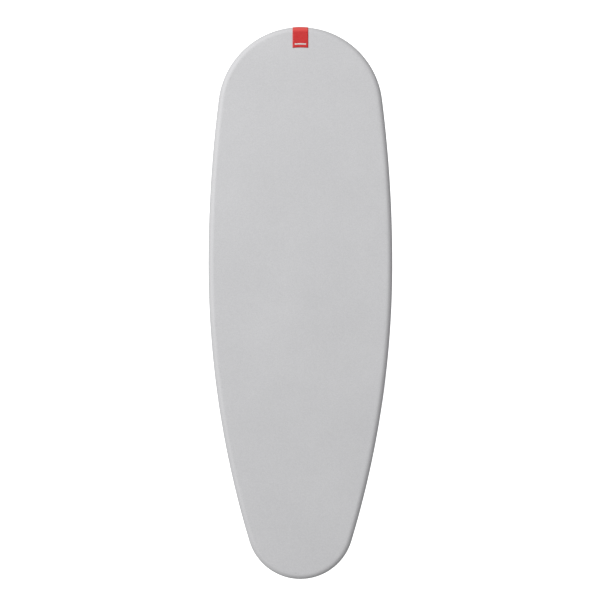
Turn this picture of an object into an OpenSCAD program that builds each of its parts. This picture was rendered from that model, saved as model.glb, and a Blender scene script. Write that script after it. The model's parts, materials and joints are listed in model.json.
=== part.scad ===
// Folding ironing board: padded mesh top on crossed tubular legs, with a stepless height clamp.
// X runs across the board, +Y points to the wide tail, -Y to the nose, +Z up. The origin is on
// the floor under the middle of the board.

/* [Board outline] */
// Overall length of the covered board, label included
board_length = 1200; // [1160:5:1240]
// Overall width of the covered board at its widest
board_width = 400; // [385:5:420]
// Radius of the round tail end
tail_radius = 179; // [165:1:183]
// Radius of the round nose end
nose_radius = 116; // [105:1:130]
// Distance from the tail tip to the widest point
widest_from_tail = 515; // [480:1:550]

/* [Top layers] */
// Thickness of the cover fabric
cover_t = 1.2; // [0.8:0.1:1.6]
// Thickness of the foam and felt pad
pad_t = 8; // [6:0.5:10]
// Thickness of the expanded steel deck
deck_t = 1.2; // [1:0.1:1.6]
// Height of the steel rim and of the cross members
rim_h = 14; // [12:0.5:16]
// Width of the hem that the cover turns under the board
hem_w = 40; // [36:1:42]

/* [Height and folding] */
// Height of the ironing surface above the floor, at its highest setting
work_height = 880; // [800:5:930]
// Length of each leg from its top pivot to its foot bar
leg_length = 1040; // [1030:5:1060]
// Distance from a leg's top pivot to the crossing pivot
upper_length = 370; // [366:1:374]
// Distance from the middle of the board to the fixed top pivot
pivot_y = 380; // [375:1:385]

/* [Legs and feet] */
// Outside diameter of the leg tubes
tube_d = 22; // [20:0.5:22]
// Wall thickness of the leg tubes
tube_t = 1; // [0.8:0.1:1.5]
// Distance from the middle to each outer leg tube
outer_x = 122; // [122:0.5:124]
// Distance from the middle to each inner leg tube
inner_x = 92; // [90:0.5:92]
// Outside diameter of the foot bars
foot_d = 25; // [24:0.5:26]
// Overall width over the foot caps
foot_span = 360; // [345:5:370]

/* [Height clamp] */
// Diameter of the guide rods that the clamps slide on
rod_d = 10; // [9:0.5:10]
// Distance from the middle to each guide rod
rod_x = 50; // [46:1:52]
// Tilt of the clamp plates while they grip
clamp_tilt = 6; // [5:0.5:6]

/* [Label] */
// Width of the woven label
label_w = 34; // [25:1:40]
// Length of the label on the ironing surface
label_length = 46; // [30:1:60]
// Thickness of the woven label
label_t = 0.6; // [0.4:0.1:0.8]

/* [Hidden] */
$fn = 48;
eps = 1;                            // how far a cutter runs past what it cuts
running = 0.1;                      // radial clearance of a turning or sliding fit

// Outline: four tangent arcs a side, with the two long side arcs meeting at the widest point.
half_w = board_width / 2;
tail_tip = board_length / 2 - label_t;
nose_tip = -board_length / 2;
tail_c = tail_tip - tail_radius;
nose_c = nose_tip + nose_radius;
widest_y = tail_tip - widest_from_tail;
function side_radius(r, d) = (half_w * half_w + d * d - r * r) / (2 * (half_w - r));
tail_side_r = side_radius(tail_radius, tail_c - widest_y);
nose_side_r = side_radius(nose_radius, widest_y - nose_c);
tail_angle = atan2(tail_c - widest_y, tail_side_r - half_w);
nose_angle = atan2(widest_y - nose_c, nose_side_r - half_w);
tail_join = tail_c + tail_radius * sin(tail_angle);
nose_join = nose_c - nose_radius * sin(nose_angle);
cap_steps = 14;
side_steps = 10;

// Levels from the ironing surface down.
top_z = work_height;
pad_top = top_z - cover_t;
deck_top = pad_top - pad_t;
rim_top = deck_top - deck_t;
rim_bottom = rim_top - rim_h;
hem_bottom = rim_bottom - cover_t;
elastic_t = 1.6;
elastic_w = 6;
fold_w = 10;
fold_bottom = hem_bottom - elastic_t - cover_t;
rim_inset = 4;
rim_w = 14;
steel_t = 1.2;
rim_inner = rim_inset + rim_w;

// Deck: rows of diamond openings, every other row half a pitch across.
mesh_long = 60;
mesh_short = 30;
strand_w = 9;
deck_margin = 22;
deck_rows = floor(board_length / mesh_short) - 1;
deck_columns = ceil(board_width / mesh_long / 2);

// Leg linkage: both legs have the same length above the crossing, so the slider moves level.
pivot_drop = 46;
pivot_z = top_z - pivot_drop;
foot_z = 14.5;
leg_angle = asin((pivot_z - foot_z) / leg_length);
slider_y = pivot_y - 2 * upper_length * cos(leg_angle);
folded_y = pivot_y - 2 * upper_length;
outer_foot_y = pivot_y - leg_length * cos(leg_angle);
inner_foot_y = slider_y + leg_length * cos(leg_angle);
tube_over = 13;
crossbar_d = 16;
crossbar_at = 850;
pin_r = 4;
axle_r = 5;
axle_half = inner_x + tube_d / 2 + 1;
cap_r = 15.5;
cap_length = 32;
cap_wall = 4;
cap_edge = 5;
plug_flange = 1.5;
plug_depth = 7;
nut_r = 7.5;
nut_t = 5;
bolt_over = 1;
bolt_head_r = 8;
axle_cap_r = 8;
axle_cap_wall = 1.5;
side_play = 0.2;
nut_x = inner_x - tube_d / 2 - nut_t - 2 * side_play;

// Top pivot brackets and cross members.
bracket_t = 2;
bracket_gap = tube_d + 4;
bracket_w = bracket_gap + 2 * bracket_t;
bracket_depth = 36;
web_length = 56;
cheek_length = 28;
rivet_r = 2.5;
rivet_y = 22;
rivet_head_r = 4.5;
rivet_head_t = 1.8;
rivet_tail_r = 4;
rivet_tail_t = 1.2;
pin_head_r = 7;
pin_head_t = 2.2;
pin_tail_t = 2.6;
washer_r = 9;
member_w = 20;
tail_member_y = 510;
nose_member_y = -515;
strap_w = 20;
strap_t = 3;
rear_strap_y = 160;
middle_strap_y = -160;
front_strap_y = -290;

// Height clamp, measured from the slider axle's axis.
rod_rise = 13;
rod_r = rod_d / 2;
housing_w = 22;
housing_front = -44;
housing_rear = 22;
housing_top = 28;
housing_bottom = -9;
window_front = -36;
window_rear = -12;
window_top = 25;
fulcrum = [-17, 23];
plate_t = 3;
plate_w = 20;
plate_low = -18;
lever_pivot = [2, -26];
lever_tip = [-10.4, -12];
lever_tip_r = 2.3;
lever_grip_at = [46, -34];
lever_t = 5;
arm_w = 9;
finger_w = 3.8;
cheek_gap = lever_t + 2;
lever_lug_r = 8;
lever_pin_r = 3;
lever_pin_head_r = 5;
lever_pin_head_t = 1.5;
lever_boss_r = 7;
lever_bar_r = 4;
lever_eye_r = 7.5;
grip_r = 9;
sleeve_r = 10;
nose_r = 1.7;
spring_gap = 0.4;
hole_gap = 0.6;
hanger_t = 3;
hanger_w = 22;
hanger_drop = 9;
rod_over = 6;
stop_gap = 6;
rear_gap = 1;
rear_stop = slider_y + housing_rear + rear_gap; // the hanger that stops the slider at full height
front_stop = folded_y + housing_front - stop_gap;

function arc(c, r, a0, a1, n, first = 0) = [
    for (k = [first:n]) c + r * [cos(a0 + (a1 - a0) * k / n), sin(a0 + (a1 - a0) * k / n)]
];
function right_side(i) = concat(
    arc([0, nose_c], nose_radius - i, -90, -nose_angle, cap_steps),
    arc([half_w - nose_side_r, widest_y], nose_side_r - i, -nose_angle, 0, side_steps, 1),
    arc([half_w - tail_side_r, widest_y], tail_side_r - i, 0, tail_angle, side_steps, 1),
    arc([0, tail_c], tail_radius - i, tail_angle, 90, cap_steps, 1)
);
function outline(i) = let (right = right_side(i)) concat(
    right,
    [for (k = [len(right) - 2:-1:1]) [-right[k][0], right[k][1]]]
);
function chord(r, d) = sqrt(max(0, r * r - d * d));
function half_width(y, i) =
    y > tail_join ? chord(tail_radius - i, y - tail_c)
    : y > widest_y ? half_w - tail_side_r + chord(tail_side_r - i, y - widest_y)
    : y > nose_join ? half_w - nose_side_r + chord(nose_side_r - i, y - widest_y)
    : chord(nose_radius - i, y - nose_c);

module plate(inset, low, high)
    translate([0, 0, low]) linear_extrude(high - low) polygon(outline(inset));

module ring(outer, inner, low, high)
    translate([0, 0, low]) linear_extrude(high - low) difference() {
        polygon(outline(outer));
        polygon(outline(inner));
    }

// A cylinder along X, from x0 to x1, at (y, z).
module x_bar(r, x0, x1, at = [0, 0])
    translate([x0, at[0], at[1]]) rotate([0, 90, 0]) cylinder(r = r, h = x1 - x0);

// A cylinder along Y, from y0 to y1, at (x, z).
module y_bar(r, y0, y1, at)
    translate([at[0], y1, at[1]]) rotate([90, 0, 0]) cylinder(r = r, h = y1 - y0);

module x_tube(r, x0, x1, at = [0, 0])
    difference() {
        x_bar(r, x0, x1, at);
        x_bar(r - steel_t, x0 - eps, x1 + eps, at);
    }

// Children drawn down +Z from a leg's top pivot land on the leg at rest.
module outer_leg_frame() translate([0, pivot_y, pivot_z]) rotate([90 + leg_angle, 0, 0]) children();
module inner_leg_frame() translate([0, slider_y, pivot_z]) rotate([-90 - leg_angle, 0, 0]) children();
module slider_frame() translate([0, slider_y, pivot_z]) children();

// ---- Top ----

module cover() color("silver") difference() {
    union() {
        plate(0, hem_bottom, top_z);
        ring(hem_w - fold_w, hem_w, fold_bottom, hem_bottom + cover_t / 2);
    }
    plate(cover_t, rim_bottom, pad_top);
    plate(hem_w, fold_bottom - eps, rim_bottom + eps);
    ring(hem_w - fold_w - eps, hem_w - cover_t, fold_bottom + cover_t, hem_bottom);
}

module hem_elastic() color("white")
    ring(hem_w - cover_t - elastic_w, hem_w - cover_t, fold_bottom + cover_t, hem_bottom);

module label() color("firebrick") difference() {
    translate([-label_w / 2, tail_tip - label_length, hem_bottom])
        cube([label_w, label_length + label_t, top_z - hem_bottom + label_t]);
    translate([0, 0, hem_bottom - eps]) linear_extrude(top_z - hem_bottom + eps)
        polygon(outline(0));
}

module pad() color("ivory") plate(cover_t, deck_top, pad_top);

module diamond(x, y)
    translate([x, y]) polygon([
        [(strand_w - mesh_long) / 2, 0], [0, (strand_w - mesh_short) / 2],
        [(mesh_long - strand_w) / 2, 0], [0, (mesh_short - strand_w) / 2]
    ]);

module deck_mesh() color("lightgray")
    translate([0, 0, rim_top]) linear_extrude(deck_t) difference() {
        polygon(outline(rim_inset));
        for (row = [-deck_rows:deck_rows], column = [-deck_columns:deck_columns]) {
            x = (column + (row % 2 == 0 ? 0 : 0.5)) * mesh_long;
            y = row * mesh_short / 2;
            reach = abs(x) + (mesh_long - strand_w) / 2;
            if (abs(y) < board_length / 2 - 2 * deck_margin
                && reach < min(half_width(y, deck_margin),
                               half_width(y + mesh_short / 2, deck_margin) + mesh_short,
                               half_width(y - mesh_short / 2, deck_margin) + mesh_short))
                diamond(x, y);
        }
    }

module rim_frame() color("gainsboro") difference() {
    ring(rim_inset, rim_inner, rim_bottom, rim_top);
    ring(rim_inset + steel_t, rim_inner + eps, rim_bottom + steel_t, rim_top - steel_t);
}

// A flat bar across the frame, centred on y, with its ends cut to the rim's inner edge.
module across(y, w, low, h)
    translate([0, 0, low]) linear_extrude(h) intersection() {
        polygon(outline(rim_inner));
        translate([-half_w, y - w / 2]) square([board_width, w]);
    }

module cross_member(y, w = member_w) color("gainsboro") difference() {
    across(y, w, rim_bottom, rim_h);
    translate([-half_w, y - w / 2 + steel_t, rim_bottom + steel_t])
        cube([board_width, w - 2 * steel_t, rim_h - 2 * steel_t]);
}

module pivot_cross_member() color("gainsboro") difference() {
    cross_member(pivot_y, web_length);
    at_rivets() cylinder(r = rivet_r, h = 2 * steel_t + eps, center = true);
}

module deck_strap(y) color("gainsboro") across(y, strap_w, rim_top - strap_t, strap_t);

// ---- Fixed top pivot ----

module at_rivets()
    for (x = [-outer_x, outer_x], y = [-rivet_y, rivet_y])
        translate([x, pivot_y + y, rim_bottom]) children();

module pivot_bracket(side) color("lightgray") difference() {
    union() {
        translate([side * outer_x - bracket_w / 2, pivot_y - web_length / 2, rim_bottom - bracket_t])
            cube([bracket_w, web_length, bracket_t]);
        translate([side * outer_x - bracket_w / 2, pivot_y - cheek_length / 2, rim_bottom - bracket_depth])
            cube([bracket_w, cheek_length, bracket_depth]);
    }
    translate([side * outer_x - bracket_gap / 2, pivot_y - cheek_length / 2 - eps,
               rim_bottom - bracket_depth - eps])
        cube([bracket_gap, cheek_length + 2 * eps, bracket_depth - bracket_t + eps]);
    x_bar(pin_r, side * outer_x - bracket_w, side * outer_x + bracket_w, [pivot_y, pivot_z]);
    at_rivets() cylinder(r = rivet_r, h = 3 * bracket_t, center = true);
}

module bracket_rivets() color("silver") at_rivets() {
    translate([0, 0, -bracket_t - rivet_head_t]) cylinder(r = rivet_head_r, h = rivet_head_t);
    translate([0, 0, -bracket_t]) cylinder(r = rivet_r, h = bracket_t + steel_t);
    translate([0, 0, steel_t]) cylinder(r = rivet_tail_r, h = rivet_tail_t);
}

module pivot_pin(side) color("silver") {
    near = outer_x - bracket_w / 2;
    far = outer_x + bracket_w / 2;
    scale_x(side) {
        x_bar(pin_r, near - 1, far + 1, [pivot_y, pivot_z]);
        x_bar(pin_head_r, near - pin_head_t, near, [pivot_y, pivot_z]);
        x_bar(pin_head_r, far, far + pin_tail_t, [pivot_y, pivot_z]);
    }
}

// The right-hand half as drawn, or its mirror image on the left.
module scale_x(side)
    if (side > 0) children();
    else mirror([1, 0, 0]) children();

module pivot_washers() color("white")
    for (x = [-outer_x, outer_x], side = [-1, 1])
        difference() {
            middle = x + side * (tube_d + bracket_gap) / 4;
            half = (bracket_gap - tube_d) / 4 - running;
            x_bar(washer_r, middle - half, middle + half, [pivot_y, pivot_z]);
            x_bar(pin_r, x - bracket_gap, x + bracket_gap, [pivot_y, pivot_z]);
        }

// ---- Guide rods ----

module rod_hangers(y) color("lightgray")
    for (side = [-1, 1])
        difference() {
            translate([side * rod_x - hanger_w / 2, y, pivot_z + rod_rise - hanger_drop])
                cube([hanger_w, hanger_t, rim_top - strap_t - pivot_z - rod_rise + hanger_drop]);
            y_bar(rod_r, y - eps, y + hanger_t + eps, [side * rod_x, pivot_z + rod_rise]);
        }

module guide_rod(side) color("silver")
    y_bar(rod_r, front_stop - hanger_t - rod_over, rear_stop + hanger_t + rod_over,
          [side * rod_x, pivot_z + rod_rise]);

// ---- Legs ----

module leg_tube(x, pivot_r, crossing_r) color("whitesmoke") difference() {
    translate([x, 0, -tube_over]) cylinder(d = tube_d, h = leg_length + tube_over);
    translate([x, 0, -tube_over - eps])
        cylinder(d = tube_d - 2 * tube_t, h = leg_length + tube_over + 2 * eps);
    x_bar(foot_d / 2, x - tube_d, x + tube_d, [0, leg_length]);
    x_bar(pivot_r, x - tube_d, x + tube_d);
    x_bar(crossing_r, x - tube_d, x + tube_d, [0, upper_length]);
}

// A flanged plug in the open top of a leg tube.
module tube_plug(x) translate([x, 0, -tube_over]) {
    translate([0, 0, -plug_flange]) cylinder(d = tube_d, h = plug_flange);
    cylinder(d = tube_d - 2 * tube_t, h = plug_depth);
}

module tube_plugs(x) color("dimgray") {
    tube_plug(-x);
    tube_plug(x);
}

module foot_bar() color("whitesmoke")
    x_tube(foot_d / 2, cap_wall - foot_span / 2, foot_span / 2 - cap_wall, [0, leg_length]);

module crossbar(x) color("whitesmoke") difference() {
    x_tube(crossbar_d / 2, -x, x, [0, crossbar_at]);
    for (side = [-1, 1]) translate([side * x, 0, 0]) cylinder(d = tube_d, h = leg_length);
}

// A plastic cap on the end of a foot bar, with a rounded end and a flat that stands on the floor.
module foot_cap(side, y) color("dimgray") scale_x(side) difference() {
    translate([foot_span / 2 - cap_length, y, foot_z]) rotate([0, 90, 0])
        rotate_extrude() polygon(concat(
            [[0, 0], [cap_r - 1, 0], [cap_r, 1]],
            arc([cap_r - cap_edge, cap_length - cap_edge], cap_edge, 0, 90, 6),
            [[0, cap_length]]
        ));
    x_bar(foot_d / 2, foot_span / 2 - cap_length - eps, foot_span / 2 - cap_wall, [y, foot_z]);
    translate([0, y - cap_r, -cap_r]) cube([foot_span, 2 * cap_r, cap_r]);
}

// ---- Crossing pivot ----

module crossing_bolt(side) color("silver") scale_x(side) outer_leg_frame() {
    x_bar(pin_r, nut_x - bolt_over, outer_x + tube_d / 2, [0, upper_length]);
    translate([outer_x + tube_d / 2, 0, upper_length]) rotate([0, 90, 0])
        rotate_extrude()
            polygon(concat([[0, 0]], arc([0, 0], bolt_head_r, 0, 60, 5), [[0, bolt_head_r / 2]]));
}

module crossing_nuts() color("silver")
    for (side = [-1, 1]) scale_x(side) outer_leg_frame() difference() {
        translate([nut_x, 0, upper_length]) rotate([0, 90, 0]) cylinder(r = nut_r, h = nut_t, $fn = 6);
        x_bar(pin_r, inner_x - tube_d, inner_x, [0, upper_length]);
    }

module crossing_spacers() color("white")
    for (side = [-1, 1]) scale_x(side) outer_leg_frame() difference() {
        x_bar(washer_r, inner_x + tube_d / 2 + side_play, outer_x - tube_d / 2, [0, upper_length]);
        x_bar(pin_r, inner_x, outer_x, [0, upper_length]);
    }

// ---- Slider and clamp ----

module slider_axle() color("silver") inner_leg_frame() x_bar(axle_r, -axle_half, axle_half);

module axle_end_caps() color("dimgray") inner_leg_frame()
    for (side = [-1, 1]) scale_x(side) difference() {
        x_bar(axle_cap_r, inner_x + tube_d / 2 + side_play, axle_half + axle_cap_wall);
        x_bar(axle_r, 0, axle_half);
    }

module palm_sleeve() color("dimgray") slider_frame() difference() {
    half = rod_x - housing_w / 2 - 2 * side_play;
    x_bar(sleeve_r, -half, half);
    x_bar(axle_r + running, -half - eps, half + eps);
}

module clamp_housing(side) color("dimgray") slider_frame() translate([side * rod_x, 0, 0]) {
    w = housing_w / 2;
    difference() {
        union() {
            translate([-w, housing_front, housing_bottom])
                cube([housing_w, housing_rear - housing_front, housing_top - housing_bottom]);
            translate([-w, lever_pivot[0] - lever_lug_r, lever_pivot[1] - lever_lug_r])
                cube([housing_w, 2 * lever_lug_r, housing_bottom - lever_pivot[1] + lever_lug_r + eps]);
        }
        difference() {
            translate([-w - eps, window_front, housing_bottom - eps])
                cube([housing_w + 2 * eps, window_rear - window_front, window_top - housing_bottom + eps]);
            translate([-w - eps, fulcrum[0] + 2, fulcrum[1] - nose_r])
                cube([housing_w + 2 * eps, window_rear - fulcrum[0], window_top - fulcrum[1] + 2]);
            x_bar(nose_r, -w - eps, w + eps, fulcrum + [2, 0]);
        }
        translate([-cheek_gap / 2, lever_pivot[0] - lever_lug_r - eps, lever_pivot[1] - lever_lug_r - eps])
            cube([cheek_gap, 2 * (lever_lug_r + eps), housing_bottom - lever_pivot[1] + lever_lug_r + eps]);
        y_bar(rod_r + running, housing_front - eps, housing_rear + eps, [0, rod_rise]);
        x_bar(axle_r + running, -w - eps, w + eps);
        x_bar(lever_pin_r, -w - eps, w + eps, lever_pivot);
    }
}

// Coil spring around a guide rod, between the housing's front cheek and the clamp plate.
spring_r = 7.2;
wire_r = 0.7;
coils = 5;
coil_steps = 14;
wire_sides = 6;
spring_front = window_front + spring_gap + wire_r;
spring_rear = fulcrum[0] - plate_t - spring_gap - wire_r;
spring_rings = coils * coil_steps;
function spring_point(k, j) = let (
    turn = 360 * k / coil_steps,
    around = 360 * j / wire_sides,
    r = spring_r + wire_r * cos(around),
    y = spring_front + (spring_rear - spring_front) * k / spring_rings + wire_r * sin(around)
) [r * cos(turn), y, r * sin(turn)];

module clamp_spring(side) color("silver") slider_frame() translate([side * rod_x, 0, rod_rise])
    polyhedron(
        points = [for (k = [0:spring_rings], j = [0:wire_sides - 1]) spring_point(k, j)],
        faces = concat(
            [[for (j = [0:wire_sides - 1]) j]],
            [for (k = [0:spring_rings - 1], j = [0:wire_sides - 1]) let (
                a = k * wire_sides + j,
                b = k * wire_sides + (j + 1) % wire_sides
            ) [a, a + wire_sides, b + wire_sides, b]],
            [[for (j = [wire_sides - 1:-1:0]) spring_rings * wire_sides + j]]
        )
    );

module lever_pins() color("silver") slider_frame()
    for (x = [-rod_x, rod_x]) {
        x_bar(lever_pin_r, x - housing_w / 2, x + housing_w / 2, lever_pivot);
        x_bar(lever_pin_head_r, x - housing_w / 2 - lever_pin_head_t, x - housing_w / 2, lever_pivot);
        x_bar(lever_pin_head_r, x + housing_w / 2, x + housing_w / 2 + lever_pin_head_t, lever_pivot);
    }

module clamp_plate(side) color("lightgray") slider_frame()
    translate([side * rod_x, fulcrum[0], fulcrum[1]]) rotate([clamp_tilt, 0, 0]) difference() {
        translate([-plate_w / 2, -plate_t, plate_low - fulcrum[1]])
            cube([plate_w, plate_t, nose_r + fulcrum[1] - plate_low]);
        y_bar(rod_r + hole_gap, -plate_t - eps, eps, [0, rod_rise - fulcrum[1]]);
    }

// ---- Release lever ----

// A straight bar of width w between two points of the Y-Z plane.
module link(a, b, w) {
    d = b - a;
    translate(a) rotate(atan2(d[1], d[0])) translate([0, -w / 2]) square([norm(d), w]);
}

module lever_arm(side) color("dimgray") slider_frame() difference() {
    translate([side * rod_x - lever_t / 2, 0, 0]) rotate([90, 0, 90]) linear_extrude(lever_t) {
        link(lever_pivot, lever_tip, finger_w);
        link(lever_pivot, lever_grip_at, arm_w);
        translate(lever_pivot) circle(r = lever_boss_r);
        translate(lever_tip) circle(r = lever_tip_r);
        translate(lever_grip_at) circle(r = lever_eye_r);
    }
    x_bar(lever_pin_r + running, -2 * rod_x, 2 * rod_x, lever_pivot);
    x_bar(lever_bar_r, -2 * rod_x, 2 * rod_x, lever_grip_at);
}

module lever_bar() color("silver") slider_frame()
    x_bar(lever_bar_r, -rod_x - lever_t / 2 - 1, rod_x + lever_t / 2 + 1, lever_grip_at);

module lever_grip() color("dimgray") slider_frame() difference() {
    half = rod_x - lever_t / 2 - 1;
    x_bar(grip_r, -half, half, lever_grip_at);
    x_bar(lever_bar_r, -half - eps, half + eps, lever_grip_at);
}

// ---- Nodes ----

cover();
hem_elastic();
label();
pad();
deck_mesh();
rim_frame();
cross_member(tail_member_y);  // tail_cross_member
pivot_cross_member();
cross_member(rear_stop + hanger_t + member_w / 2);  // middle_cross_member
cross_member(front_stop - hanger_t - member_w / 2);  // front_cross_member
cross_member(nose_member_y);  // nose_cross_member
deck_strap(rear_strap_y);  // rear_deck_strap
deck_strap(middle_strap_y);  // middle_deck_strap
deck_strap(front_strap_y);  // front_deck_strap
pivot_bracket(-1);  // pivot_bracket_left
pivot_bracket(1);  // pivot_bracket_right
bracket_rivets();
pivot_pin(-1);  // pivot_pin_left
pivot_pin(1);  // pivot_pin_right
pivot_washers();
rod_hangers(rear_stop);  // rear_rod_hangers
rod_hangers(front_stop - hanger_t);  // front_rod_hangers
guide_rod(-1);  // guide_rod_left
guide_rod(1);  // guide_rod_right
outer_leg_frame() leg_tube(-outer_x, pin_r + running, pin_r);  // outer_tube_left
outer_leg_frame() leg_tube(outer_x, pin_r + running, pin_r);  // outer_tube_right
outer_leg_frame() foot_bar();  // outer_foot_bar
outer_leg_frame() crossbar(outer_x);  // outer_crossbar
foot_cap(-1, outer_foot_y);  // outer_foot_cap_left
foot_cap(1, outer_foot_y);  // outer_foot_cap_right
outer_leg_frame() tube_plugs(outer_x);  // outer_tube_plugs
crossing_bolt(-1);  // crossing_bolt_left
crossing_bolt(1);  // crossing_bolt_right
crossing_nuts();
crossing_spacers();
inner_leg_frame() leg_tube(-inner_x, axle_r, pin_r + running);  // inner_tube_left
inner_leg_frame() leg_tube(inner_x, axle_r, pin_r + running);  // inner_tube_right
inner_leg_frame() foot_bar();  // inner_foot_bar
inner_leg_frame() crossbar(inner_x);  // inner_crossbar
foot_cap(-1, inner_foot_y);  // inner_foot_cap_left
foot_cap(1, inner_foot_y);  // inner_foot_cap_right
inner_leg_frame() tube_plugs(inner_x);  // inner_tube_plugs
slider_axle();
axle_end_caps();
palm_sleeve();
clamp_housing(-1);  // clamp_housing_left
clamp_housing(1);  // clamp_housing_right
clamp_spring(-1);  // clamp_spring_left
clamp_spring(1);  // clamp_spring_right
lever_pins();
clamp_plate(-1);  // clamp_plate_left
clamp_plate(1);  // clamp_plate_right
lever_arm(-1);  // lever_arm_left
lever_arm(1);  // lever_arm_right
lever_bar();
lever_grip();
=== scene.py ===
import json
import math

import bmesh
import bpy
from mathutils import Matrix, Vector, noise


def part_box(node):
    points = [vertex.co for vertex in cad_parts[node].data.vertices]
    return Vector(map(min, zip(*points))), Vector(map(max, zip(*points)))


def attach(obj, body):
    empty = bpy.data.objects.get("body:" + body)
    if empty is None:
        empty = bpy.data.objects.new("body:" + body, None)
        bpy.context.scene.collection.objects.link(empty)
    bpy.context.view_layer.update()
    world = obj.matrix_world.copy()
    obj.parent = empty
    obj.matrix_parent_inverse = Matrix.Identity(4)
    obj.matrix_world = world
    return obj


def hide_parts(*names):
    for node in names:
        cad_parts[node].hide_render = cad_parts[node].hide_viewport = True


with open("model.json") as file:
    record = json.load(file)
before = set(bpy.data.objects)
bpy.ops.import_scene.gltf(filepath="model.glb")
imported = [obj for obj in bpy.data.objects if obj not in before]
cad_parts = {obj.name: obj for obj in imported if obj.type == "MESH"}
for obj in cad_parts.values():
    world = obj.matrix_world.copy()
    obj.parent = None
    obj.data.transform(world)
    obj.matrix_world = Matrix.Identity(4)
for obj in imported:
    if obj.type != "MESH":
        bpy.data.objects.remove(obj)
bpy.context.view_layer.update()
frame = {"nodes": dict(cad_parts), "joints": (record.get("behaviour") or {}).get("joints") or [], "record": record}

# The ironing board's looks: the stretched cover with its gathered hem, the felt pad, the woven
# label, the expanded steel deck, coil springs, grips, welds and stitches, and the materials of
# the metal and plastic parts. Everything is in metres, in the frame's own axes.

MM = 0.001

# The board's edge is four tangent arcs a side. Its length and width come from the frame.
TAIL_RADIUS = 179 * MM
NOSE_RADIUS = 116 * MM
WIDEST_FROM_TAIL = 515 * MM

# The cover's section, from the ironing surface round the edge to the hem under the rim.
COLUMNS = 620
EDGE_RADIUS = 13 * MM
CORNER_RADIUS = 3 * MM
CLOTH = 0.5 * MM
TOP_INSETS = (14, 17, 22, 30, 40, 51, 62)
SPINE_STEPS = 8
EDGE_STEPS = 9
HEM_STEPS = 9

# The gathers that the elastic draws in the hem.
FOLD_LENGTH = 19 * MM
SIDE_FOLD = 0.9 * MM
END_FOLD = 2.6 * MM


def in_scene(name, data):
    """A new object that shows a mesh, a light or a camera, in the scene."""
    thing = bpy.data.objects.new(name, data)
    bpy.context.scene.collection.objects.link(thing)
    return thing


def smooth(mesh):
    """Shades every face smooth."""
    mesh.polygons.foreach_set("use_smooth", [True] * len(mesh.polygons))


def piece_from(name, verts, faces, material):
    """A new smooth-shaded object with one material, in the scene."""
    mesh = bpy.data.meshes.new(name)
    mesh.from_pydata([tuple(v) for v in verts], [], faces)
    smooth(mesh)
    mesh.materials.append(material)
    mesh.update()
    return in_scene(name, mesh)


def ring_faces(rings, columns):
    """Quads that join closed rings of points, each to the next."""
    faces = []
    for ring in range(rings - 1):
        for k in range(columns):
            a = ring * columns + k
            b = ring * columns + (k + 1) % columns
            faces.append((a, b, b + columns, a + columns))
    return faces


def last_to_first(rings, columns):
    """Quads that join the last of the closed rings back to the first."""
    last = (rings - 1) * columns
    return [(last + j, last + (j + 1) % columns, (j + 1) % columns, j) for j in range(columns)]


def merge_close(piece, distance):
    """Joins points that coincide, and turns every face outwards."""
    shape = bmesh.new()
    shape.from_mesh(piece.data)
    bmesh.ops.remove_doubles(shape, verts=shape.verts, dist=distance)
    bmesh.ops.recalc_face_normals(shape, faces=shape.faces)
    shape.to_mesh(piece.data)
    shape.free()
    smooth(piece.data)


def smoothstep(low, high, x):
    t = min(1, max(0, (x - low) / (high - low)))
    return t * t * (3 - 2 * t)


def wobble(x, y=0.0, z=0.0):
    """Smooth noise from -1 to 1, the same on every run."""
    return noise.noise(Vector((x, y, z)))


# ---- Outline ----

def edge_arcs():
    """The arcs of the board's edge, counter-clockwise from the nose tip.

    Each is its centre's x and y, its radius, and its start and end angles.
    """
    low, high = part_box("cover")
    half = high.x
    widest = high.y - WIDEST_FROM_TAIL
    tail = high.y - TAIL_RADIUS
    nose = low.y + NOSE_RADIUS

    def side(radius, run):
        return (half * half + run * run - radius * radius) / (2 * (half - radius))

    tail_side = side(TAIL_RADIUS, tail - widest)
    nose_side = side(NOSE_RADIUS, widest - nose)
    tail_turn = math.atan2(tail - widest, tail_side - half)
    nose_turn = math.atan2(widest - nose, nose_side - half)
    right = [
        (0, nose, NOSE_RADIUS, -math.pi / 2, -nose_turn),
        (half - nose_side, widest, nose_side, -nose_turn, 0),
        (half - tail_side, widest, tail_side, 0, tail_turn),
        (0, tail, TAIL_RADIUS, tail_turn, math.pi / 2),
    ]
    left = [(-x, y, r, math.pi - b, math.pi - a) for x, y, r, a, b in reversed(right)]
    return right + left, nose, tail


ARCS, NOSE_CENTRE, TAIL_CENTRE = edge_arcs()
PERIMETER = sum(r * (b - a) for _, _, r, a, b in ARCS)


def edge_at(s):
    """Point, outward normal and radius of the board's edge, a distance s round from the nose."""
    s %= PERIMETER
    for x, y, r, a, b in ARCS:
        run = r * (b - a)
        if s <= run or (x, y, r, a, b) == ARCS[-1]:
            turn = a + min(s, run) / r
            out = Vector((math.cos(turn), math.sin(turn), 0))
            return Vector((x, y, 0)) + out * r, out, r
        s -= run


def edge_samples(count):
    return [edge_at(PERIMETER * k / count) for k in range(count)]


# ---- Materials ----

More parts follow.
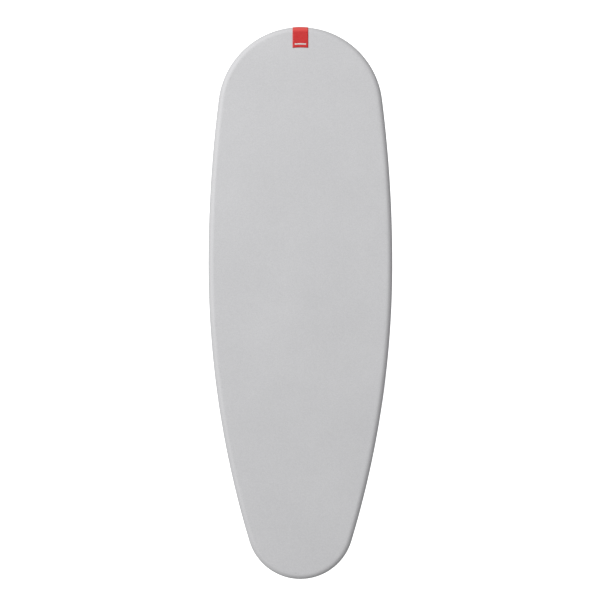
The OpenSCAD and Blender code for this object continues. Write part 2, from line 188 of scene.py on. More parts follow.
class Look:
    """One procedural material. Constant values go on the shader's own sockets."""

    def __init__(self, name, **shader):
        self.material = bpy.data.materials.new(name)
        self.material.use_nodes = True
        self.tree = self.material.node_tree
        self.shader = self.tree.nodes["Principled BSDF"]
        self.place = self.node("ShaderNodeTexCoord").outputs["Object"]
        for socket, value in shader.items():
            self.put(self.shader, socket.replace("_", " "), value)

    def put(self, node, socket, value):
        if isinstance(value, bpy.types.NodeSocket):
            self.tree.links.new(value, node.inputs[socket])
        else:
            node.inputs[socket].default_value = value

    def surface(self, colour, roughness):
        self.put(self.shader, "Base Color", colour)
        self.put(self.shader, "Roughness", roughness)

    def node(self, kind, inputs={}, **settings):
        made = self.tree.nodes.new(kind)
        for name, value in settings.items():
            setattr(made, name, value)
        for socket, value in inputs.items():
            self.put(made, socket, value)
        return made

    def noise(self, scale, detail=2, rough=0.5, stretch=None):
        place = self.place
        if stretch:
            place = self.node("ShaderNodeMapping", {"Vector": place, "Scale": stretch}).outputs[0]
        inputs = {"Vector": place, "Scale": scale, "Detail": detail, "Roughness": rough}
        return self.node("ShaderNodeTexNoise", inputs).outputs["Fac"]

    def threads(self, pitch, axis, distortion=0.6):
        """Ridges across an axis, one a thread, pitch metres apart."""
        inputs = {"Vector": self.place, "Scale": math.pi / (10 * pitch), "Distortion": distortion,
                  "Detail": 1, "Detail Scale": 2}
        wave = self.node("ShaderNodeTexWave", inputs, wave_type="BANDS", bands_direction=axis)
        return wave.outputs["Fac"]

    def math(self, operation, a, b):
        return self.node("ShaderNodeMath", {0: a, 1: b}, operation=operation).outputs[0]

    def blend(self, fac, a, b):
        """From a to b as fac goes from 0 to 1: a linear mix of two colours."""
        mix = self.node("ShaderNodeMix", data_type="RGBA")
        self.put(mix, 0, fac)
        self.put(mix, 6, a)
        self.put(mix, 7, b)
        return mix.outputs[2]

    def span(self, fac, low, high, start=0.0, end=1.0):
        """fac from start to end, mapped to low to high and held there beyond."""
        inputs = {"Value": fac, "From Min": start, "From Max": end, "To Min": low, "To Max": high}
        return self.node("ShaderNodeMapRange", inputs).outputs[0]

    def bump(self, height, distance, strength=1.0, under=None):
        inputs = {"Height": height, "Distance": distance, "Strength": strength}
        if under:
            inputs["Normal"] = under
        normal = self.node("ShaderNodeBump", inputs).outputs[0]
        self.put(self.shader, "Normal", normal)
        return normal


def grey(value, warm=0.0):
    """A neutral colour, a little warmer or, below zero, cooler."""
    return (value + max(0, warm), value + max(0, warm) / 2, value - min(0, warm), 1)


def silver_cloth():
    look = Look("silver_cloth", Metallic=0.12, Specular_IOR_Level=0.3,
                Sheen_Weight=0.12, Sheen_Roughness=0.5)
    across = look.math("ADD", look.threads(0.7 * MM, "X"), look.threads(0.7 * MM, "Y"))
    weave = look.math("MULTIPLY", look.math("ADD", across, look.threads(0.7 * MM, "Z")), 0.4)
    speckle = look.noise(520, 3, 0.7)
    cloud = look.noise(9, 3)
    spots = look.span(speckle, -0.5, 0.5, 0.25, 0.75)
    tone = look.math("ADD", spots, look.span(cloud, -0.07, 0.07, 0.3, 0.7))
    tone = look.math("ADD", tone, look.span(weave, 0.35, 0.65))
    look.surface(look.blend(tone, grey(0.54, -0.012), grey(0.66, -0.012)),
                 look.span(speckle, 0.62, 0.76, 0.3, 0.7))
    coarse = look.bump(speckle, 0.25 * MM, 0.5)
    look.bump(weave, 0.15 * MM, 0.6, coarse)
    return look.material


# Where the label turns over the tail's edge, a painted highlight: the red pales towards the edge, and darkens back
# to red below it.
FOLD_HIGHLIGHT_Y = (588 * MM, 592 * MM)
FOLD_HIGHLIGHT_Z = (862 * MM, 868 * MM)


def label_weave():
    """Red satin ribbon, with a painted highlight: a little paler where it bends over the board's edge."""
    look = Look("label_weave", Specular_IOR_Level=0.5, Sheen_Weight=0.7, Sheen_Roughness=0.22)
    across = look.math("ADD", look.threads(0.35 * MM, "Y", 0.2), look.threads(0.35 * MM, "Z", 0.2))
    ribs = look.math("MULTIPLY", look.math("ADD", across, look.threads(0.5 * MM, "X", 0.2)), 0.4)
    fuzz = look.noise(900, 2)
    tone = look.math("ADD", look.span(fuzz, -0.3, 0.3, 0.3, 0.7), look.span(ribs, 0.3, 0.8))
    red = look.blend(tone, (0.47, 0.007, 0.007, 1), (0.67, 0.013, 0.013, 1))
    # Painted highlight: a paler red, placed by position where the label bends over the tail's edge, stands in for
    # light on the fold.
    spot = look.node("ShaderNodeSeparateXYZ", {"Vector": look.place}).outputs
    near_edge = look.span(spot["Y"], 0, 1, *FOLD_HIGHLIGHT_Y)
    near_top = look.span(spot["Z"], 0, 1, *FOLD_HIGHLIGHT_Z)
    painted_fold_highlight = look.math("MULTIPLY", near_edge, near_top)
    look.surface(look.blend(painted_fold_highlight, red, (0.72, 0.08, 0.07, 1)),
                 look.span(fuzz, 0.32, 0.42, 0.3, 0.7))
    look.bump(ribs, 0.1 * MM, 0.5)
    return look.material


def thread_look(name, colour):
    look = Look(name, Sheen_Weight=0.2, Sheen_Roughness=0.4)
    twist = look.noise(1800, 2, 0.6, (1, 1, 3))
    shade = (colour[0] * 0.72, colour[1] * 0.72, colour[2] * 0.72, 1)
    look.surface(look.blend(twist, shade, colour), look.span(twist, 0.5, 0.7))
    look.bump(twist, 0.1 * MM, 0.6)
    return look.material


def felt():
    look = Look("felt", Sheen_Weight=0.4, Sheen_Roughness=0.7)
    fibre = look.noise(700, 4, 0.7)
    clump = look.noise(60, 3)
    tone = look.math("ADD", look.span(fibre, 0, 0.6, 0.3, 0.7), look.span(clump, 0, 0.4, 0.3, 0.7))
    look.surface(look.blend(tone, grey(0.6, 0.02), grey(0.82, 0.02)), look.span(fibre, 0.85, 0.95))
    look.bump(fibre, 0.5 * MM, 0.8)
    return look.material


def powder_coat(name, colour, rough, peel=0.09):
    """Baked powder paint: fine orange peel, slow tone drift and faint handling marks."""
    look = Look(name, Coat_Weight=0.15, Coat_Roughness=0.25)
    grain = look.noise(900, 2)
    drift = look.noise(14, 3)
    scuff = look.noise(160, 5, 0.75, (1, 0.25, 0.25))
    worn = look.math("MULTIPLY", look.span(scuff, 0, 1, 0.66, 0.74), 0.35)
    base = look.blend(drift, grey(colour * 0.94), grey(colour * 1.03))
    look.surface(look.blend(worn, base, grey(colour * 0.6)),
                 look.span(look.noise(45, 3), rough - 0.06, rough + 0.07, 0.3, 0.7))
    look.bump(grain, peel * MM, 0.5)
    return look.material


def zinc():
    """Bright zinc plate on pressed steel: soft spangle, rolled grain and dull spots."""
    look = Look("zinc", Metallic=1.0)
    cells = look.node("ShaderNodeTexVoronoi", {"Vector": look.place, "Scale": 240}).outputs["Color"]
    spangle = look.span(look.node("ShaderNodeRGBToBW", {0: cells}).outputs[0], 0, 1)
    grain = look.noise(500, 3, 0.6, (1, 0.06, 1))
    dull = look.span(look.noise(55, 4), 0, 1, 0.5, 0.7)
    tone = look.math("ADD", look.math("MULTIPLY", spangle, 0.6), look.math("MULTIPLY", grain, 0.4))
    bright = look.blend(tone, (0.5, 0.52, 0.55, 1), (0.74, 0.75, 0.76, 1))
    look.surface(look.blend(dull, bright, (0.48, 0.49, 0.5, 1)),
                 look.span(look.math("ADD", grain, dull), 0.25, 0.48, 0.3, 1.6))
    look.bump(grain, 0.05 * MM, 0.4)
    return look.material


def chrome():
    """Polished rod, rubbed along its length by the clamps."""
    look = Look("chrome", Metallic=1.0)
    rub = look.noise(220, 4, 0.7, (1, 0.02, 1))
    smear = look.noise(24, 3)
    look.surface(look.blend(rub, (0.66, 0.67, 0.69, 1), (0.8, 0.8, 0.81, 1)),
                 look.span(look.math("ADD", rub, smear), 0.08, 0.26, 0.7, 1.3))
    look.bump(rub, 0.02 * MM, 0.3)
    return look.material


def moulded(name, dark, light, rough):
    """Moulded plastic with a spark-eroded grain, lighter where hands and floors rub it."""
    look = Look(name)
    grain = look.noise(1400, 2)
    rub = look.span(look.noise(70, 5, 0.7), 0, 1, 0.55, 0.75)
    tone = look.math("ADD", look.math("MULTIPLY", rub, 0.5), look.math("MULTIPLY", grain, 0.3))
    look.surface(look.blend(tone, dark, light),
                 look.span(grain, rough - 0.08, rough + 0.08, 0.3, 0.7))
    look.bump(grain, 0.12 * MM, 0.6)
    return look.material


def elastic_braid():
    look = Look("elastic_braid", Sheen_Weight=0.3)
    rib = look.threads(1.2 * MM, "Y", 1.5)
    look.surface(look.blend(rib, grey(0.6, 0.01), grey(0.82, 0.01)), look.span(rib, 0.65, 0.85))
    look.bump(rib, 0.3 * MM, 0.7)
    return look.material


LOOKS = {
    "cover_fabric": silver_cloth(),
    "label_red": label_weave(),
    "elastic_white": elastic_braid(),
    "pad_felt": felt(),
    "deck_steel": powder_coat("deck_paint", 0.66, 0.46, 0.05),
    "frame_paint": powder_coat("frame_paint", 0.66, 0.42),
    "leg_paint": powder_coat("leg_paint", 0.72, 0.36),
    "zinc_steel": zinc(),
    "rod_steel": chrome(),
    "white_plastic": moulded("nylon", (0.6, 0.6, 0.57, 1), (0.78, 0.78, 0.75, 1), 0.42),
    "dark_plastic": moulded("dark_plastic", (0.035, 0.038, 0.042, 1), (0.1, 0.105, 0.11, 1), 0.48),
    "grip_rubber": moulded("grip_rubber", (0.02, 0.021, 0.023, 1), (0.06, 0.062, 0.066, 1), 0.68),
}
WHITE_THREAD = thread_look("white_thread", (0.85, 0.85, 0.83, 1))
GREY_THREAD = thread_look("grey_thread", (0.6, 0.6, 0.62, 1))
RED_THREAD = thread_look("red_thread", (0.55, 0.03, 0.03, 1))


SLOTS = {part["node"]: part["material_slot"] for part in frame["record"]["subparts"]}


def dress_frame():
    """Gives every CAD node the look of its slot in the record."""
    for node, slot in SLOTS.items():
        materials = frame["nodes"][node].data.materials
        materials.clear()
        materials.append(LOOKS[slot])


# ---- Swept shapes ----

def sweep(path, radius, sides, closed=False):
    """Points and faces of a round tube along a path. radius is a number, or one for each point."""
    count = len(path)
    radii = radius if isinstance(radius, list) else [radius] * count
    verts, faces = [], []
    side = None
    for k, point in enumerate(path):
        ahead = path[(k + 1) % count] if closed or k < count - 1 else point
        behind = path[k - 1] if closed or k else point
        along = (ahead - behind).normalized()
        if side is None:
            side = along.orthogonal().normalized()
        side = (side - along * side.dot(along)).normalized()
        up = along.cross(side)
        for j in range(sides):
            turn = 2 * math.pi * j / sides
            verts.append(point + (side * math.cos(turn) + up * math.sin(turn)) * radii[k])
    faces = ring_faces(count, sides)
    if closed:
        faces += last_to_first(count, sides)
    else:
        faces.append(tuple(reversed(range(sides))))
        faces.append(tuple(range((count - 1) * sides, count * sides)))
    return verts, faces


def joined(name, shapes, material):
    """One piece from several swept shapes."""
    verts, faces = [], []
    for points, quads in shapes:
        start = len(verts)
        verts += points
        faces += [tuple(start + i for i in face) for face in quads]
    return piece_from(name, verts, faces, material)


# Along a stitch: how far from its start, how far it rises, and how thick it is.
THREAD_BOW = ((0, -0.6), (0.2, 0.7), (0.5, 1), (0.8, 0.7), (1, -0.6))
THREAD_TAPER = (0.7, 1, 1.1, 1, 0.7)


def stitch(a, b, lift, radius=0.25 * MM):
    """One thread from a to b, bowed along lift in the middle, sunk at both ends."""
    path = [a.lerp(b, along) + lift * rise for along, rise in THREAD_BOW]
    return sweep(path, [radius * share for share in THREAD_TAPER], 6)


# ---- Cover ----

COVER_LOW, COVER_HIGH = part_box("cover")
TOP = COVER_HIGH.z
RIM_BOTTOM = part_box("rim_frame")[0].z
ELASTIC_LOW, ELASTIC_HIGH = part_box("hem_elastic")
HEM_LEVEL = RIM_BOTTOM - 0.35 * MM
CASING_LOW = ELASTIC_LOW.z - 0.5 * MM
CASING_HIGH = ELASTIC_HIGH.z + 0.4 * MM
CASING_OUTER = 29.5 * MM
CASING_INNER = 40 * MM
CASING_CURVE = 37.5 * MM
GATHER_TOP = TOP - EDGE_RADIUS - 1 * MM
GATHER_RISE = 10 * MM

# How far the flat top lies under the highest point, and the cloth's two ripples over it.
TOP_SAG = 0.2
BROAD_RIPPLE = 0.22
FINE_RIPPLE = 0.1


def cover_section():
    """The cover's section, from the flat top's edge to the hem's raw edge, as (inset, height)."""
    points = []
    for k in range(1, EDGE_STEPS + 1):
        turn = math.pi / 2 * k / EDGE_STEPS
        points.append((EDGE_RADIUS * (1 - math.sin(turn)),
                       TOP - EDGE_RADIUS * (1 - math.cos(turn))))
    bottom = HEM_LEVEL - CLOTH
    wall_top, wall_bottom = TOP - EDGE_RADIUS, bottom + CORNER_RADIUS
    for part in (0.25, 0.6, 0.9):
        points.append((0, wall_top + (wall_bottom - wall_top) * part))
    for k in range(1, 4):
        turn = math.pi / 2 * k / 3
        points.append((CORNER_RADIUS * (1 - math.cos(turn)),
                       bottom + CORNER_RADIUS * (1 - math.sin(turn))))
    for k in range(1, HEM_STEPS + 1):
        points.append((CORNER_RADIUS + (CASING_OUTER - CORNER_RADIUS) * k / HEM_STEPS, bottom))
    points += [
        (33 * MM, CASING_HIGH),
        (CASING_CURVE, CASING_HIGH),
        (CASING_INNER - 0.5 * MM, CASING_HIGH - 0.3 * MM),
        (CASING_INNER, (CASING_LOW + CASING_HIGH) / 2),
        (CASING_INNER - 0.5 * MM, CASING_LOW + 0.3 * MM),
        (CASING_CURVE, CASING_LOW),
        (33.5 * MM, CASING_LOW),
        (CASING_OUTER, CASING_LOW + 0.6 * MM),
    ]
    return points


def fold_phases(samples):
    """For each column, its gather's phase, and how much cloth the edge's curve crowds into it."""
    phase, phases = 0, []
    step = PERIMETER / len(samples)
    folds = round(PERIMETER / FOLD_LENGTH)
    for point, _, radius in samples:
        crowd = smoothstep(0.6, 0.1, radius)
        phase += step * (1 + 0.35 * wobble(point.x * 22, point.y * 22, 3)) * (1 + 0.35 * crowd)
        phases.append((phase, crowd))
    whole = phases[-1][0]
    turns = 2 * math.pi * round(folds * whole / PERIMETER) / whole
    return [(p * turns, crowd) for p, crowd in phases]


def centre_line(y):
    """The nearest point to y of the line between the two end arcs' centres."""
    return min(TAIL_CENTRE, max(NOSE_CENTRE, y))


def make_cover():
    """The stretched cover, as one sheet from the top's middle line to the hem's raw edge."""
    samples = edge_samples(COLUMNS)
    section = cover_section()
    phases = fold_phases(samples)
    rings = []
    for k in range(SPINE_STEPS, 0, -1):
        rings.append([])
        for point, out, _ in samples:
            inner = point - out * TOP_INSETS[-1] * MM
            spine = Vector((0, centre_line(inner.y), 0))
            rings[-1].append(inner.lerp(spine, k / SPINE_STEPS))
    for inset in reversed(TOP_INSETS):
        rings.append([point - out * inset * MM for point, out, _ in samples])
    for ring in rings:
        for place in ring:
            ripple = BROAD_RIPPLE * wobble(place.x * 9, place.y * 5)
            ripple += FINE_RIPPLE * wobble(place.x * 30, place.y * 24)
            place.z = TOP - (TOP_SAG - ripple) * MM
    run = 0
    for inset, z in section:
        ring = []
        depth = smoothstep(GATHER_TOP, GATHER_TOP - GATHER_RISE, z)
        gather = depth * (0.35 + 0.65 * smoothstep(0, 12 * MM, inset))
        casing = smoothstep(27 * MM, 33 * MM, inset)
        run = max(run, inset)
        for k, (point, out, _) in enumerate(samples):
            phase, crowd = phases[k]
            height = SIDE_FOLD + (END_FOLD - SIDE_FOLD) * crowd
            lean = 0.5 * wobble(point.x * 40, point.y * 40, run * 60)
            wave = 0.5 + 0.5 * math.cos(phase + lean)
            wave *= 0.65 + 0.35 * wobble(point.x * 18, point.y * 18, 7)
            ruffle = math.cos(1.9 * phase + 2 * wobble(point.x * 30, point.y * 30, 5))
            drop = gather * height * wave * (1 - 0.75 * casing)
            pull = 0.35 * MM * depth * math.cos(phase * 0.5 + lean) * (1 - casing)
            place = point - out * (inset + pull + casing * 0.8 * MM * ruffle * (0.4 + crowd))
            ring.append(Vector((place.x, place.y, z - drop)))
        rings.append(ring)
    verts = [place for ring in rings for place in ring]
    cover = piece_from("cover_cloth", verts, ring_faces(len(rings), COLUMNS), LOOKS["cover_fabric"])
    merge_close(cover, 0.05 * MM)
    return cover, rings


def flat_size():
    """The cut sheet's width, length and area: the top with the section's run added all round."""
    section = [(EDGE_RADIUS, TOP)] + cover_section()
    grow = sum(math.dist(a, b) for a, b in zip(section, section[1:])) - EDGE_RADIUS
    inner = 0
    for x, y, r, a, b in ARCS:
        inner += r * r * (b - a) / 2
        inner += r * (math.sin(b) - math.sin(a)) * x / 2 - r * (math.cos(b) - math.cos(a)) * y / 2
    area = inner + PERIMETER * grow + math.pi * grow * grow
    size = COVER_HIGH - COVER_LOW
    return size.x + 2 * grow, size.y + 2 * grow, area


# ---- Hem seam, pad and label ----

PAD_GAP = 0.35 * MM


def hem_stitches(seam):
    """A running seam round the underside of the hem's casing."""
    shapes = []
    down = Vector((0, 0, -0.3 * MM))
    drop = Vector((0, 0, -0.1 * MM))
    for k in range(0, COLUMNS, 2):
        a, b = seam[k], seam[(k + 1) % COLUMNS]
        gap = (b - a) * 0.06
        shapes.append(stitch(a - gap + drop, b + gap + drop, down))
    return joined("hem_seam", shapes, GREY_THREAD)


def make_pad():
    """Felt over foam, with a rounded top edge just inside the cover's."""
    low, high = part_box("pad")
    samples = edge_samples(COLUMNS // 2)
    skin = CLOTH + PAD_GAP
    radius = EDGE_RADIUS - skin
    base, top = low.z + 0.1 * MM, TOP - skin
    section = [(60 * MM, base), (12 * MM, base), (3.5 * MM, base), (2 * MM, low.z + 0.6 * MM)]
    thick = high.z - low.z
    start = math.asin(1 - (thick - 1.5 * MM) / radius) if thick < radius else 0
    for k in range(8):
        turn = start + (math.pi / 2 - start) * k / 7
        section.append((skin + radius * (1 - math.cos(turn)), top - radius * (1 - math.sin(turn))))
    section += [(14 * MM, top - 0.05 * MM), (24 * MM, top - 0.3 * MM), (60 * MM, top - 0.3 * MM)]
    rings = [[point - out * inset + Vector((0, 0, z)) for point, out, _ in samples]
             for inset, z in section]
    under, over = [[Vector((0, centre_line(v.y), v.z)) for v in ring]
                   for ring in (rings[0], rings[-1])]
    rings = [under] + rings + [over]
    verts = [v for ring in rings for v in ring]
    pad = piece_from("felt_pad", verts, ring_faces(len(rings), len(samples)), LOOKS["pad_felt"])
    merge_close(pad, 0.05 * MM)
    return pad


def over_edge(x, run, lift):
    """A point a distance run over the tail's edge from the flat top, and lift outside the cover."""
    edge_y = TAIL_CENTRE + math.sqrt(TAIL_RADIUS ** 2 - x * x)
    arc = EDGE_RADIUS * math.pi / 2
    if run < 0:
        inset, z, tilt = EDGE_RADIUS - run, TOP, 0
    elif run < arc:
        tilt = run / EDGE_RADIUS
        inset, z = EDGE_RADIUS * (1 - math.sin(tilt)), TOP - EDGE_RADIUS * (1 - math.cos(tilt))
    else:
        inset, z, tilt = 0, TOP - EDGE_RADIUS - (run - arc), math.pi / 2
    return Vector((x, edge_y - inset + lift * math.sin(tilt), z + lift * math.cos(tilt)))


LABEL_LOW, LABEL_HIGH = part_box("label")
LABEL_START = EDGE_RADIUS - (COVER_HIGH.y - LABEL_LOW.y)
LABEL_END = EDGE_RADIUS * math.pi / 2 + TOP - EDGE_RADIUS - LABEL_LOW.z
LABEL_THICK = 0.6 * MM
LABEL_SINK = 0.05 * MM


def make_label():
    """The woven label, folded over the tail's edge, thinner at its two selvedges."""
    half = LABEL_HIGH.x
    columns, rows = 24, 60
    verts, faces = [], []
    for layer in (0, 1):
        for row in range(rows + 1):
            run = LABEL_START + (LABEL_END - LABEL_START) * row / rows
            for k in range(columns + 1):
                u = 2 * k / columns - 1
                soft = 1 - 0.35 * layer * smoothstep(0.9, 1, abs(u))
                pucker = 0.06 * MM * wobble(u * 3, run * 200, 2)
                lift = layer * LABEL_THICK * soft + (LABEL_SINK + pucker if layer else -LABEL_SINK)
                verts.append(over_edge(u * half, run, lift))
    size = (rows + 1) * (columns + 1)
    wide = columns + 1
    for row in range(rows):
        for k in range(columns):
            a = row * wide + k
            faces.append((a, a + wide, a + wide + 1, a + 1))
            faces.append((a + size, a + size + 1, a + size + wide + 1, a + size + wide))
    loop = list(range(wide)) + [row * wide + columns for row in range(1, rows + 1)]
    loop += [rows * wide + k for k in range(columns - 1, -1, -1)]
    loop += [row * wide for row in range(rows - 1, 0, -1)]
    for k, a in enumerate(loop):
        b = loop[(k + 1) % len(loop)]
        faces.append((a, b, b + size, a + size))
    label = piece_from("woven_label", verts, faces, LOOKS["label_red"])
    merge_close(label, 0.01 * MM)
    return label


def label_bar():
    """A plain bar of white satin stitch near the label's lower edge."""
    width, height, above = 24 * MM, 3.2 * MM, 7.5 * MM
    pitch = 0.5 * MM
    shapes = []
    count = round(width / pitch)
    lift = Vector((0, 0, 0.12 * MM))
    for k in range(count + 1):
        x = -width / 2 + width * k / count
        centre = LABEL_START + above
        a = over_edge(x, centre - height / 2, LABEL_THICK)
        b = over_edge(x, centre + height / 2, LABEL_THICK)
        shapes.append(stitch(a, b, lift, 0.27 * MM))
    return joined("label_bar", shapes, WHITE_THREAD)


def label_stitches():
    """Red thread down both sides of the label and across its lower edge."""
    half = LABEL_HIGH.x - 1.2 * MM
    pitch = 2.4 * MM
    long = pitch * 0.7
    lower = LABEL_START + 1.3 * MM
    shapes = []
    count = int((LABEL_END - LABEL_START - 3 * MM) / pitch)
    for side in (-1, 1):
        for k in range(count):
            run = LABEL_START + 1.5 * MM + k * pitch
            a = over_edge(side * half, run, LABEL_THICK)
            b = over_edge(side * half, run + long, LABEL_THICK)
            up = (over_edge(side * half, run, 2 * LABEL_THICK) - a).normalized()
            shapes.append(stitch(a, b, up * 0.15 * MM, 0.2 * MM))
    across = int(2 * half / pitch)
    for k in range(across):
        x = -half + pitch * 0.15 + k * 2 * half / across
        a = over_edge(x, lower, LABEL_THICK)
        b = over_edge(x + long, lower, LABEL_THICK)
        shapes.append(stitch(a, b, Vector((0, 0, 0.15 * MM)), 0.2 * MM))
    return joined("label_seam", shapes, RED_THREAD)


# ---- Expanded steel deck ----

MESH_LONG = 20 * MM
MESH_SHORT = 9.5 * MM
STRAND = 2.4 * MM
DECK_INSET = 5 * MM
DECK_END = 1 * MM


def half_width(y, inset):
    """Half the board's width at y, less an inset along the edge's normal; 0 beyond its ends."""
    for x, cy, r, a, b in ARCS[:4]:
        reach = r - inset
        rise = (y - cy) / reach
        if abs(rise) <= 1 and math.sin(a) - 1e-6 <= rise <= math.sin(b) + 1e-6:
            return x + reach * math.sqrt(1 - rise * rise)
    return 0


def make_deck():
    """Expanded steel: staggered diamonds, each a ring of four strands."""
    low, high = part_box("deck_mesh")
    shape = bmesh.new()
    made = {}

    def point(x, y, level):
        y = min(high.y - DECK_END, max(low.y + DECK_END, y))
        limit = max(half_width(y, DECK_INSET), DECK_END)
        x = min(limit, max(-limit, x))
        key = (round(x * 2e5), round(y * 2e5))
        if key not in made:
            made[key] = [shape.verts.new((x, y, z)) for z in (low.z, high.z)]
        return made[key][level]

    def face(*corners):
        corners = list(dict.fromkeys(corners))
        if len(corners) > 2 and not shape.faces.get(corners):
            shape.faces.new(corners)

    rows = int((high.y - low.y) / MESH_SHORT) + 1
    columns = int(high.x / MESH_LONG) + 1
    bottom, top = 0, 1
    for row in range(-rows, rows + 1):
        for column in range(-columns, columns + 1):
            cx = (column + (0.5 if row % 2 else 0)) * MESH_LONG
            cy = row * MESH_SHORT / 2
            if abs(cx) - MESH_LONG / 2 > half_width(cy, DECK_INSET) or not low.y < cy < high.y:
                continue
            long, short = MESH_LONG / 2, MESH_SHORT / 2
            inner_long, inner_short = long - 1.7 * STRAND, short - 0.62 * STRAND
            outer, inner = [[(cx - half, cy), (cx, cy - rise), (cx + half, cy), (cx, cy + rise)]
                            for half, rise in ((long, short), (inner_long, inner_short))]
            if min(half_width(y, DECK_INSET) - abs(x) for x, y in inner) < 0:
                face(*[point(x, y, top) for x, y in outer])
                face(*[point(x, y, bottom) for x, y in reversed(outer)])
                continue
            for k in range(4):
                a, b = outer[k], outer[(k + 1) % 4]
                c, d = inner[(k + 1) % 4], inner[k]
                face(*[point(x, y, top) for x, y in (a, b, c, d)])
                face(*[point(x, y, bottom) for x, y in (d, c, b, a)])
                face(point(*d, top), point(*c, top), point(*c, bottom), point(*d, bottom))
    under = {upper: lower for lower, upper in made.values()}
    border = [edge.verts[:] for edge in shape.edges
              if len(edge.link_faces) == 1 and all(v in under for v in edge.verts)]
    for a, b in border:
        face(a, b, under[b], under[a])
    mesh = bpy.data.meshes.new("expanded_deck")
    bmesh.ops.recalc_face_normals(shape, faces=shape.faces)
    shape.to_mesh(mesh)
    shape.free()
    mesh.materials.append(LOOKS["deck_steel"])
    return in_scene("expanded_deck", mesh)


# ---- Metal and plastic details ----

# Edges sharper than this angle, in radians, and longer than this are rounded.
SHARP = 0.6
LONG_EDGE = 2 * MM

WIRE = 0.7 * MM
COILS = 6.5
GROOVE = 0.7 * MM
RIB_STEPS = 8
BEAD = 1.5 * MM
BEAD_POINTS = 40


def coil_spring(name, node):
    """A round-wire compression spring with closed ends, in the place of the CAD one."""
    low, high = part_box(node)
    centre = (low + high) / 2
    radius = (high.x - low.x) / 2 - WIRE
    steps = COILS * 28
    path = []
    for k in range(int(steps) + 1):
        t = k / steps
        closed = 0.5 - 0.5 * math.cos(math.pi * t)
        along = 0.25 * t + 0.75 * closed
        y = low.y + WIRE + (high.y - low.y - 2 * WIRE) * along
        turn = 2 * math.pi * COILS * t
        coil = Vector((radius * math.cos(turn), 0, radius * math.sin(turn)))
        path.append(Vector((centre.x, y, centre.z)) + coil)
    return joined(name, [sweep(path, WIRE, 10)], LOOKS["zinc_steel"])


def ribbed_grip(node, ribs):
    """A sleeve along X with rounded ends and a ring groove between its ribs."""
    low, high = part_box(node)
    centre = (low + high) / 2
    radius = (high.z - low.z) / 2
    steps = ribs * RIB_STEPS
    sides = 48
    verts = []
    bore = min(radius - 3 * MM, 5.1 * MM)
    length = high.x - low.x
    profile = [(low.x, bore)]
    for k in range(steps + 1):
        x = low.x + length * k / steps
        end = min(x - low.x, high.x - x)
        groove = GROOVE * max(0, math.cos(2 * math.pi * k / RIB_STEPS)) ** 6 if 0 < k < steps else 0
        round_end = 1.5 * MM * (1 - math.sqrt(max(0, 1 - (1 - min(1, end / (2 * MM))) ** 2)))
        profile.append((x, radius - groove - round_end))
    profile.append((high.x, bore))
    for x, r in profile:
        for j in range(sides):
            turn = 2 * math.pi * j / sides
            verts.append(Vector((x, centre.y + r * math.cos(turn), centre.z + r * math.sin(turn))))
    faces = ring_faces(len(profile), sides) + last_to_first(len(profile), sides)
    grip = piece_from(f"ribbed_{node}", verts, faces, LOOKS["grip_rubber"])
    merge_close(grip, 0.001 * MM)
    return grip


def softened(node, width):
    """A moulded or pressed CAD part's shape, with its long sharp edges rounded off."""
    shape = bmesh.new()
    shape.from_mesh(frame["nodes"][node].data)
    bmesh.ops.remove_doubles(shape, verts=shape.verts, dist=0.001 * MM)
    bmesh.ops.dissolve_limit(shape, angle_limit=0.01, verts=shape.verts, edges=shape.edges)
    sharp = [edge for edge in shape.edges if len(edge.link_faces) == 2
             and edge.calc_length() > LONG_EDGE and edge.calc_face_angle() > SHARP]
    bmesh.ops.bevel(shape, geom=sharp, offset=width, segments=2, profile=0.5, affect="EDGES",
                    clamp_overlap=True)
    mesh = bpy.data.meshes.new(f"{node}_shape")
    shape.to_mesh(mesh)
    shape.free()
    smooth(mesh)
    mesh.set_sharp_from_angle(angle=SHARP)
    piece = in_scene(f"rounded_{node}", mesh)
    normals = piece.modifiers.new("normals", "WEIGHTED_NORMAL")
    normals.keep_sharp = True
    return piece


# The parts that come in a left and a right: the width of their rounding, and their body.
ROUNDED = (
    ("clamp_housing", 0.9 * MM, "slider"),
    ("lever_arm", 0.6 * MM, "release_lever"),
    ("clamp_plate", 0.35 * MM, "clamp_plates"),
    ("pivot_bracket", 0.45 * MM, "board"),
)


def joint_place(name):
    return Vector(next(j["pos_m"] for j in frame["joints"] if j["name"] == name))


def leg_axes(pivot, foot_node):
    """The direction down a leg, the one square to it and to the foot bar, and the leg's length."""
    low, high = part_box(foot_node)
    down = (low + high) / 2 - pivot
    down.x = 0
    length = down.length
    down.normalize()
    return down, down.cross(Vector((1, 0, 0))), length


def bead(path):
    """A closed weld bead, thicker and thinner along its run."""
    radii = []
    for k in range(len(path)):
        waves = 0.18 * math.sin(9 * k * 2 * math.pi / len(path))
        radii.append(BEAD * (1 + waves + 0.15 * wobble(k * 0.7, path[0].x * 50)))
    return sweep(path, radii, 8, closed=True)


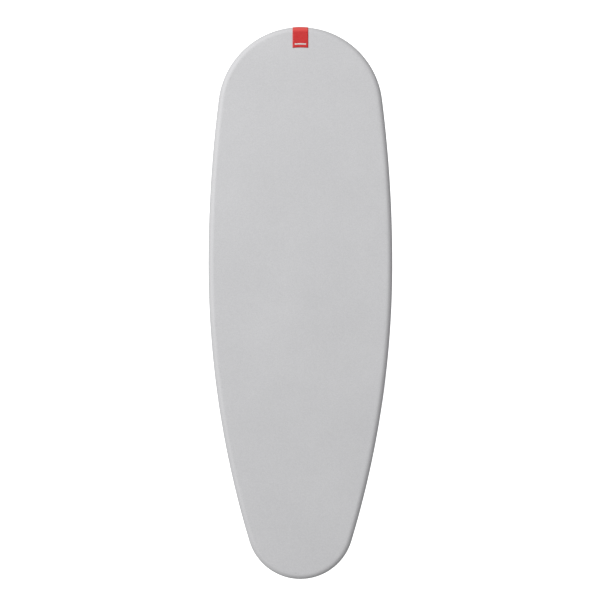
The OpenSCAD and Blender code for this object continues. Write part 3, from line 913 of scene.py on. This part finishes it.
def leg_welds(leg, pivot):
    """Weld beads where a leg's two tubes meet its foot bar and its crossbar."""
    down, square, length = leg_axes(pivot, f"{leg}_foot_bar")
    low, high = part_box(f"{leg}_tube_right")
    tube_x, tube_r = (low.x + high.x) / 2, (high.x - low.x) / 2
    foot_low, foot_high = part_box(f"{leg}_foot_bar")
    foot_r = (foot_high.y - foot_low.y) / 2
    cross_low, cross_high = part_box(f"{leg}_crossbar")
    cross_r = (cross_high.y - cross_low.y) / 2
    base = Vector((0, pivot.y, pivot.z))
    cross_at = ((cross_low + cross_high) / 2 - base).dot(down)
    shapes = []
    for side in (-1, 1):
        path, ring = [], []
        for k in range(BEAD_POINTS):
            turn = 2 * math.pi * k / BEAD_POINTS
            along, off = tube_r * math.cos(turn), tube_r * math.sin(turn)
            reach = length - math.sqrt(foot_r * foot_r - off * off)
            path.append(base + down * reach + square * off + Vector((side * tube_x + along, 0, 0)))
            rise, off = cross_r * math.cos(turn), cross_r * math.sin(turn)
            inner = tube_x - math.sqrt(tube_r * tube_r - off * off)
            ring.append(base + down * (cross_at + rise) + square * off
                        + Vector((side * inner, 0, 0)))
        shapes += [bead(path), bead(ring)]
    return joined(f"{leg}_leg_welds", shapes, LOOKS["leg_paint"])


# ---- Studio ----

# The camera looks straight down and sees this width at the level of the top.
VIEW_WIDTH = 1299.5 * MM
LENS, SENSOR = 100, 36
CAMERA_X, CAMERA_Y = -0.87 * MM, 6.4 * MM

# The floor's half side, and the world's strength as light and as the camera sees it.
FLOOR = 40
SKY_LIGHT, SKY_SEEN = 0.38, 0.97

KEY_PLACE = (-4.45, 3.6, 6.83)
KEY_SIZE, KEY_POWER = 3.4, 565


def soft_light(name, place, target, size, power):
    """A round softbox that faces a target."""
    data = bpy.data.lights.new(name, "AREA")
    data.shape = "DISK"
    data.size = size
    data.energy = power
    lamp = in_scene(name, data)
    lamp.location = place
    lamp.rotation_euler = (Vector(target) - lamp.location).to_track_quat("-Z", "Y").to_euler()


def white_world():
    """A white world that is brighter where the camera sees it than where it lights."""
    world = bpy.data.worlds.new("studio")
    world.use_nodes = True
    sky = world.node_tree.nodes["Background"]
    sky.inputs["Color"].default_value = (1, 1, 1, 1)
    seen = world.node_tree.nodes.new("ShaderNodeMapRange")
    seen.inputs["To Min"].default_value = SKY_LIGHT
    seen.inputs["To Max"].default_value = SKY_SEEN
    ray = world.node_tree.nodes.new("ShaderNodeLightPath")
    world.node_tree.links.new(ray.outputs["Is Camera Ray"], seen.inputs["Value"])
    world.node_tree.links.new(seen.outputs[0], sky.inputs["Strength"])
    return world


def studio():
    scene = bpy.context.scene
    scene.view_settings.view_transform = "Standard"
    scene.world = white_world()

    corners = [(-FLOOR, -FLOOR, 0), (FLOOR, -FLOOR, 0), (FLOOR, FLOOR, 0), (-FLOOR, FLOOR, 0)]
    floor = piece_from("floor", corners, [(0, 1, 2, 3)], floor_look())
    floor.visible_diffuse = False
    floor.visible_glossy = False
    soft_light("key", KEY_PLACE, (0, 0, TOP), KEY_SIZE, KEY_POWER)

    lens = bpy.data.cameras.new("camera")
    lens.lens = LENS
    lens.sensor_width = SENSOR
    lens.clip_end = 50
    camera = in_scene("camera", lens)
    camera.location = (CAMERA_X, CAMERA_Y, TOP + VIEW_WIDTH * LENS / SENSOR)
    scene.camera = camera


def floor_look():
    look = Look("floor", Roughness=0.9, Emission_Color=(1, 1, 1, 1), Emission_Strength=0.7)
    look.put(look.shader, "Base Color", look.blend(look.noise(3, 2), grey(0.86), grey(0.9)))
    return look.material


# ---- Assembly ----

def place(piece, body, slot, node=None):
    """Rides a body and, if a CAD node is named, takes its place. The slot argument is not used."""
    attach(piece, body)
    if node:
        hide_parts(node)
    return piece


def thicken(piece, amount):
    """Gives a cloth its thickness, on the inside."""
    shell = piece.modifiers.new("thickness", "SOLIDIFY")
    shell.thickness = amount
    shell.offset = -1


studio()
dress_frame()

cover, cover_rings = make_cover()
thicken(cover, CLOTH)
place(cover, "board", "cover_fabric", "cover")
width, length, area = flat_size()
seam = place(hem_stitches(cover_rings[-2]), "board", "cover_fabric")

pad = place(make_pad(), "board", "pad_felt", "pad")

label = place(make_label(), "board", "label_red", "label")
bar = place(label_bar(), "board", "label_red")
border = place(label_stitches(), "board", "label_red")

place(make_deck(), "board", "deck_steel", "deck_mesh")
for hand in ("left", "right"):
    node = f"clamp_spring_{hand}"
    place(coil_spring(f"coil_spring_{hand}", node), "slider", "zinc_steel", node)
for node, ribs, body in (("palm_sleeve", 10, "slider"), ("lever_grip", 12, "release_lever")):
    place(ribbed_grip(node, ribs), body, "grip_rubber", node)
for hand in ("left", "right"):
    for part, width, body in ROUNDED:
        node = f"{part}_{hand}"
        piece = softened(node, width)
        piece.data.materials.append(LOOKS[SLOTS[node]])
        place(piece, body, SLOTS[node], node)
for leg, joint in (("outer", "fold"), ("inner", "slider_pivot")):
    place(leg_welds(leg, joint_place(joint)), f"{leg}_leg", "leg_paint")
